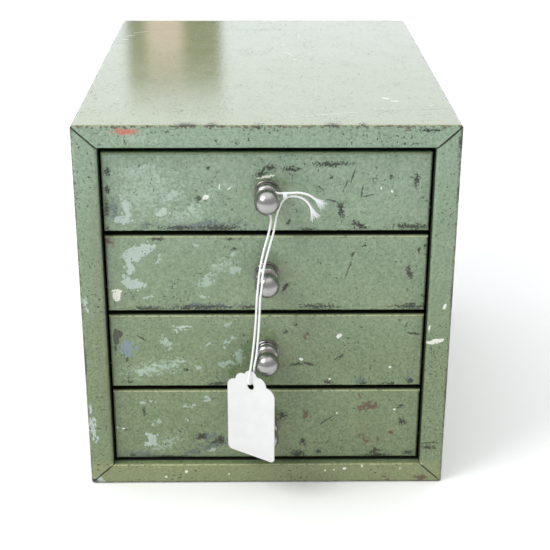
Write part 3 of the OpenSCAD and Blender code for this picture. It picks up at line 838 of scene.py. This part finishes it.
class CABINET_OT_string(bpy.types.Operator):
    """Makes the tag's string, its knot and its frayed ends"""

    bl_idname = "cabinet.string"
    bl_label = "Tag string"

    def execute(self, context):
        settings = context.scene.cabinet.string
        radius = settings.diameter / 2
        path, length = smooth_route([Vector(p) * MM for p in ROUTE], 0.4 * MM)
        string = tube("string", path, radius, 12, 3, 0.16, settings.twist)
        knot = self.knot(radius)
        fray = self.fray(path, radius, settings.fibres)
        cotton = self.cotton(settings)
        for piece in (string, knot, fray):
            wear(piece, cotton)
            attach(piece, "drawer_1")
        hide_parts("tag_string")
        return {"FINISHED"}

    def knot(self, radius):
        """Two tight turns round both strands."""
        turns, steps = 2.2, 64
        reach = 1.9 * radius
        path = []
        for i in range(steps + 1):
            t = i / steps
            angle = 2 * pi * turns * t + 0.6
            along = (t - 0.5) * 3.4 * radius
            lean = 0.35 * radius * sin(angle)
            path.append(
                KNOT + Vector((along + lean, 1.15 * reach * cos(angle), reach * sin(angle)))
            )
        return tube("string_knot", path, radius * 0.95, 10, 3, 0.16, 4 * MM)

    def fray(self, path, radius, fibres):
        """Loose fibres that fan out of both ends."""
        pieces = []
        for start, before in ((path[0], path[6]), (path[-1], path[-7])):
            ahead = (start - before).normalized()
            for i in range(fibres):
                pieces.append(self.fibre(start - ahead * 1.2 * MM, ahead, radius, i, len(pieces)))
        return joined("string_fray", pieces)

    def fibre(self, start, ahead, radius, i, seed):
        """One fibre: it leaves the string's end inside its thickness, and curls away."""
        side = ahead.cross(Vector((0, 1, 0))).normalized()
        up = side.cross(ahead)
        angle = 2.4 * i
        spread = 0.13 + 0.42 * abs(noise(Vector((seed * 1.7, 3.1, 0.4))))
        away = side * cos(angle) * 1.25 + up * sin(angle) * 0.7
        reach = (5.6 + 2.6 * noise(Vector((seed * 0.9, 7.7, 1.3)))) * MM
        bend = Vector((0, 0, -1)) * 0.25 + side * 0.5 * noise(Vector((seed * 2.3, 0.2, 5.0)))
        path = []
        for k in range(7):
            t = k / 6
            path.append(
                start + away * (0.5 * radius + spread * reach * t * (0.45 + 0.55 * t))
                + ahead * reach * t + bend * reach * t * t * 0.5
            )
        radii = [0.2 * MM * (1 - 0.6 * k / 6) for k in range(7)]
        return tube("fibre", path, radii, 5)

    def cotton(self, settings):
        """Soft white cotton, a little dull in its grooves."""
        finish = Finish("white_cotton")
        lint = finish.noise(0.35 * MM, 3, 0.7)
        soil = finish.noise(9 * MM, 3)
        tone = finish.mix(finish.fade(lint, 0.3, 0.7), srgb(234, 238, 238), settings.tint)
        tone = finish.mix(finish.times(finish.fade(soil, 0.5, 0.8), 0.3), tone,
                          srgb(220, 224, 220))
        return finish.set(
            Base_Color=tone, Roughness=0.9, Sheen_Weight=0.35, Sheen_Roughness=0.4,
            Subsurface_Weight=0.15, Subsurface_Scale=0.6 * MM,
            Normal=finish.bump(lint, 0.1 * MM),
        )


class CABINET_OT_tag(bpy.types.Operator):
    """Gives the tag its paper"""

    bl_idname = "cabinet.tag"
    bl_label = "Tag"

    def execute(self, context):
        finish = Finish("tag_paper")
        pulp = finish.noise(0.5 * MM, 4, 0.7)
        cloud = finish.noise(12 * MM, 3)
        tone = finish.mix(finish.fade(cloud, 0.3, 0.7), srgb(220, 221, 221), srgb(227, 228, 228))
        tone = finish.mix(finish.times(pulp, 0.18), tone, srgb(204, 204, 201))
        wear(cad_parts["tag_card"], finish.set(
            Base_Color=tone, Roughness=0.72, Normal=finish.bump(pulp, 0.02 * MM),
        ))
        return {"FINISHED"}


# The knob's foot, the step above it and its ball, in millimetres
FOOT_START, FOOT_RADIUS, STEP_RADIUS = 0.25, 7.1, 5.9
BALL_RADIUS, BALL_REACH = 6.9, 16.1


class CABINET_OT_knobs(bpy.types.Operator):
    """Turns one knob and sets it on every drawer"""

    bl_idname = "cabinet.knobs"
    bl_label = "Knobs"

    def execute(self, context):
        first = self.turned("knob_1", *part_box("drawer_1_knob"))
        metal = self.metal(context.scene.cabinet.knob)
        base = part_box("drawer_1_knob")[0]
        for n in DRAWERS:
            knob = first
            if n > 1:
                knob = bpy.data.objects.new(f"knob_{n}", first.data.copy())
                context.scene.collection.objects.link(knob)
                drop = Vector(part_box(f"drawer_{n}_knob")[0]) - Vector(base)
                knob.data.transform(Matrix.Translation(drop))
            wear(knob, metal)
            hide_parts(f"drawer_{n}_knob")
            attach(knob, f"drawer_{n}")
        return {"FINISHED"}

    def profile(self):
        """The knob's outline: distance from the drawer's face and radius, in millimetres."""
        foot, step, ball, ball_reach = FOOT_RADIUS, STEP_RADIUS, BALL_RADIUS, BALL_REACH
        line = [(FOOT_START, foot), (1.1, foot), (1.4, foot - 0.3)]
        line += [(1.45, step), (1.95, step), (2.2, step - 0.2)]
        line += [(5 - 3.3 * cos(a), 3.2 + 3.4 * sin(a)) for a in arc(34, 146, 16)]
        line += [(8.2, 3.9), (8.8, 3.5), (9.8, 3.4), (10.2, 3.6)]
        line += [(ball_reach - ball * cos(a), ball * sin(a)) for a in arc(34, 177, 30)]
        return line

    def turned(self, name, low, high):
        """Turns the knob on its axis, ring by ring from its foot to its ball."""
        face, height = high[1], (low[2] + high[2]) / 2
        foot = FOOT_START * MM
        bpy.ops.object.select_all(action="DESELECT")
        bpy.ops.mesh.primitive_cylinder_add(
            vertices=64, radius=FOOT_RADIUS * MM, depth=foot, location=(0, face - foot / 2, height),
            rotation=(pi / 2, 0, 0),
        )
        knob = bpy.context.object
        knob.name = name
        settle(knob)
        bpy.ops.object.mode_set(mode="EDIT")
        bpy.ops.mesh.select_mode(type="FACE")
        bpy.ops.mesh.select_all(action="DESELECT")
        bpy.ops.object.mode_set(mode="OBJECT")
        front = min(knob.data.polygons, key=lambda p: p.center.y)
        front.select = True
        bpy.ops.object.mode_set(mode="EDIT")
        line = self.profile()
        for (reach, radius), (further, next_radius) in zip(line, line[1:]):
            bpy.ops.mesh.extrude_region_move(
                TRANSFORM_OT_translate={"value": (0, (reach - further) * MM, 0)}
            )
            grow = next_radius / radius
            bpy.ops.transform.resize(
                value=(grow, 1, grow), center_override=(0, face - further * MM, height)
            )
        bpy.ops.object.mode_set(mode="OBJECT")
        bpy.ops.object.shade_smooth_by_angle(angle=radians(38))
        return knob

    def metal(self, settings):
        """Satin metal with fine turning rings, dull and brown in patches and in its grooves; the groove
        under the ball is painted darker as shade, and the foot darker with dirt and painted shadow.
        """
        finish = Finish("knob_metal")
        x, y, z = finish.axes()
        rings = finish.noise(0.22 * MM, 2, 0.5, at=finish.add("CombineXYZ", 0.0, y, 0.0))
        patina_and_groove_shade = finish.noise(3.5 * MM, 4, 0.65)
        reach = finish.minus(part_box("drawer_1_knob")[1][1], y)
        root = finish.fade(reach, 10 * MM, 4 * MM)
        # Painted shadow: the groove between the collar and the ball is laid over with the brown colour,
        # as the dark line of shade there.
        groove = finish.sum("ABSOLUTE", finish.minus(reach, 9.4 * MM))
        patina_and_groove_shade = finish.plus(patina_and_groove_shade, finish.times(root, 0.08))
        patina_and_groove_shade = finish.plus(patina_and_groove_shade, finish.fade(groove, 2 * MM, 0.5 * MM))
        dull = finish.times(finish.fade(patina_and_groove_shade, 0.55, 0.95), 0.75)
        tone = finish.mix(dull, settings.metal, settings.tarnish_and_groove_shade)
        # Darker near the foot, where the knob meets the drawer's face: dirt and painted shadow.
        dark = finish.fade(reach, 2.3 * MM, 1.3 * MM)
        tone = finish.mix(finish.times(dark, 0.5), tone, srgb(70, 66, 60))
        rough = finish.sum("MULTIPLY_ADD", dull, 0.3, settings.roughness)
        return finish.set(
            Base_Color=tone, Metallic=1.0, Roughness=rough,
            Normal=finish.bump(rings, 0.004 * MM, under=finish.bump(patina_and_groove_shade, 0.012 * MM)),
        )


def arc(start, end, steps):
    """Angles from start to end, given in degrees."""
    return [radians(start + (end - start) * i / steps) for i in range(steps + 1)]


class CABINET_OT_case(bpy.types.Operator):
    """Enamels the case: the wrap, the base and the back"""

    bl_idname = "cabinet.case"
    bl_label = "Case enamel"

    def execute(self, context):
        finish = Enamel("case_enamel", context.scene.cabinet.enamel)
        s = finish.settings
        x, y, z = finish.axes()
        top = finish.fade(z, CASE_HIGH[2] - 0.7 * MM, CASE_HIGH[2] - 0.2 * MM)
        finish.lay(top, finish.mix(finish.tone, tuple(s.top_dark), tuple(s.top_light)))
        side = finish.minus(CASE_HIGH[0], finish.sum("ABSOLUTE", x))
        ends = self.inside(finish, y, CASE_LOW[1], CASE_HIGH[1])
        heights = self.inside(finish, z, 0.0, CASE_HIGH[2])
        nearest = finish.least(side, ends)
        other = finish.least(finish.sum("MAXIMUM", side, ends), heights)
        edge = finish.sum("MAXIMUM", nearest, other)
        front = finish.fade(y, CASE_LOW[1] + 3 * MM, CASE_LOW[1] + 2 * MM)
        low = finish.fade(z, 1.3 * SILL, SILL)
        finish.lay(finish.times(finish.times(low, front), 0.3), s.sill)
        finish.marks(CASE_FRONT_MARKS, case_front_solid)
        finish.marks(CASE_TOP_MARKS, case_top_solid)
        finish.specks(0.63)
        finish.rim(edge, 1.5 * MM, 0.85, s.edge)
        self.opening(finish, x, y, z)
        material = finish.finished()
        for node in ("case_wrap", "case_base", "case_back"):
            wear(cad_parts[node], material)
        return {"FINISHED"}

    def opening(self, finish, x, y, z):
        """Painted shade on the lips folded into the opening and on all that faces the drawers, and a
        pale line along the sill's fold.
        """
        low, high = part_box("drawer_4_front")[0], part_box("drawer_1_front")[1]
        across = self.inside(finish, x, low[0] - SIDE_GAP, high[0] + SIDE_GAP)
        within = finish.sum(
            "MINIMUM", across, self.inside(finish, z, low[2] - SIDE_GAP, high[2] + SIDE_GAP)
        )
        depth = finish.minus(y, CASE_LOW[1])
        rear = finish.minus(CASE_HIGH[1] - REAR_INSET, y)
        depth = finish.least(depth, finish.times(within, 8.0))
        # the sill under the lowest drawer is left out of the painted shade as far as the drawer's face,
        # and gets a pale line of rubbed paint and painted highlight
        sill = finish.fade(z, low[2] - 0.1 * MM, low[2] - 0.7 * MM)
        unshaded_sill = finish.times(sill, 3.6 * MM)
        finish.gap_shade(
            finish.minus(finish.least(depth, rear), unshaded_sill), 1.2 * MM
        )
        rubbed = finish.sum("ABSOLUTE", finish.minus(z, SILL))
        rubbed = finish.plus(rubbed, finish.fade(depth, 1 * MM, 2 * MM))
        rubbed = finish.minus(rubbed, finish.least(across, 0.0))
        finish.fold_highlight_and_rub(finish.plus(rubbed, 0.2 * MM), 0.85)

    def inside(self, finish, along, low, high):
        """How far inside two opposite faces of the case a point is."""
        return finish.sum(
            "MINIMUM", finish.minus(along, low), finish.minus(high, along)
        )


class CABINET_OT_fronts(bpy.types.Operator):
    """Enamels the four drawer fronts, each with its own wear"""

    bl_idname = "cabinet.fronts"
    bl_label = "Drawer front enamel"

    def execute(self, context):
        for n in DRAWERS:
            node = f"drawer_{n}_front"
            low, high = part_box(node)
            finish = Enamel(f"front_enamel_{n}", context.scene.cabinet.enamel)
            x, y, z = finish.axes()
            left = finish.minus(x, low[0])
            side = finish.minus(high[0], finish.sum("ABSOLUTE", x))
            above = finish.minus(high[2], z)
            below = finish.minus(z, low[2])
            finish.marks(FRONT_MARKS[n], front_solid(node))
            finish.specks(0.65)
            finish.rim(below, 0.9 * MM, 0.9, finish.settings.chip)
            finish.rim(side, 0.7 * MM, 0.8, finish.settings.chip)
            # Pale lines along the top and left folds: rubbed paint and a painted highlight.
            finish.fold_highlight_and_rub(above, 0.85)
            finish.fold_highlight_and_rub(left, 0.45)
            # Painted shade on the returns behind the face, in the gaps between the drawers.
            finish.gap_shade(finish.minus(y, low[1]), 2.0 * MM)
            wear(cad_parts[node], finish.finished())
        return {"FINISHED"}


class CABINET_OT_insides(bpy.types.Operator):
    """Finishes the trays and the runners"""

    bl_idname = "cabinet.insides"
    bl_label = "Trays and runners"

    def execute(self, context):
        tray = Enamel("tray_enamel", context.scene.cabinet.enamel)
        rub = tray.fade(tray.noise(28 * MM, 5, 0.7), 0.56, 0.72)
        tray.lay(tray.times(rub, 0.35), tray.settings.smear, 0.5)
        worn = tray.fade(tray.noise(16 * MM, 5, 0.75), 0.64, 0.7)
        tray.lay(tray.times(worn, 0.7), tray.settings.primer, 0.42, -0.3)
        tray.specks(0.74)
        enamel = tray.finished()
        mill = self.mill()
        for n in DRAWERS:
            wear(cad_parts[f"drawer_{n}_tray"], enamel)
            for side in ("left", "right"):
                wear(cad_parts[f"runner_{n}_{side}"], mill)
        return {"FINISHED"}

    def mill(self):
        """Dull rolled steel with rubbed lines along Y and a little rust."""
        finish = Finish("runner_steel")
        metal = srgb(142, 142, 138)
        stretch = 90  # how many times longer than wide the rubbed lines are
        drawn = finish.add("Mapping", finish.place, (0, 0, 0), (0, 0, 0), (1, 1 / stretch, 1))
        lines = finish.noise(0.5 * MM, 3, 0.6, at=drawn)
        spots = finish.fade(finish.noise(4 * MM, 5, 0.7), 0.62, 0.72)
        tone = finish.mix(lines, tuple(c * 0.6 for c in metal), metal)
        tone = finish.mix(finish.times(spots, 0.6), tone, srgb(110, 78, 56))
        rough = finish.sum("MULTIPLY_ADD", spots, 0.35, finish.sum("MULTIPLY_ADD", lines, 0.2, 0.3))
        shine = finish.sum("MULTIPLY_ADD", spots, -0.7, 1.0)
        return finish.set(Base_Color=tone, Metallic=shine, Roughness=rough,
                          Normal=finish.bump(lines, 0.03 * MM))


class CABINET_OT_fasteners(bpy.types.Operator):
    """Finishes the knobs' screws and washers"""

    bl_idname = "cabinet.fasteners"
    bl_label = "Screws and washers"

    def execute(self, context):
        finish = Finish("screw_steel")
        scuff = finish.noise(0.8 * MM, 4, 0.7)
        bloom = finish.fade(finish.noise(2.5 * MM, 4, 0.7), 0.5, 0.75)
        tone = finish.mix(scuff, srgb(120, 118, 112), srgb(184, 182, 176))
        tone = finish.mix(finish.times(bloom, 0.5), tone, srgb(112, 88, 66))
        material = finish.set(
            Base_Color=tone, Metallic=0.9, Roughness=finish.sum("MULTIPLY_ADD", bloom, 0.3, 0.28),
            Normal=finish.bump(scuff, 0.02 * MM),
        )
        for n in DRAWERS:
            for part in ("screw", "washer"):
                wear(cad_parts[f"drawer_{n}_knob_{part}"], material)
        return {"FINISHED"}


# ---------------------------------------------------------------- panel and registration

STEPS = [
    CABINET_OT_stage,
    CABINET_OT_string,
    CABINET_OT_tag,
    CABINET_OT_knobs,
    CABINET_OT_case,
    CABINET_OT_fronts,
    CABINET_OT_insides,
    CABINET_OT_fasteners,
]
SETTINGS = [EnamelSettings, StringSettings, KnobSettings, StageSettings, CabinetSettings]


class CABINET_PT_looks(bpy.types.Panel):
    """Lists the steps in the order in which they are made, and the settings"""

    bl_idname = "CABINET_PT_looks"
    bl_label = "Drawer cabinet"
    bl_space_type = "VIEW_3D"
    bl_region_type = "UI"
    bl_category = "Cabinet"

    def draw(self, context):
        for step in STEPS:
            self.layout.operator(step.bl_idname)
        cabinet = context.scene.cabinet
        for group in (cabinet.enamel, cabinet.string, cabinet.knob, cabinet.stage):
            box = self.layout.box()
            for key in type(group).__annotations__:
                box.prop(group, key)


def register():
    for cls in (*SETTINGS, *STEPS, CABINET_PT_looks):
        bpy.utils.register_class(cls)
    bpy.types.Scene.cabinet = PointerProperty(type=CabinetSettings)


def unregister():
    del bpy.types.Scene.cabinet
    for cls in reversed((*SETTINGS, *STEPS, CABINET_PT_looks)):
        bpy.utils.unregister_class(cls)


def main():
    """Makes everything in order."""
    register()
    for step in STEPS:
        group, name = step.bl_idname.split(".")
        getattr(getattr(bpy.ops, group), name)()
    bpy.context.view_layer.update()


if __name__ == "__main__":
    main()
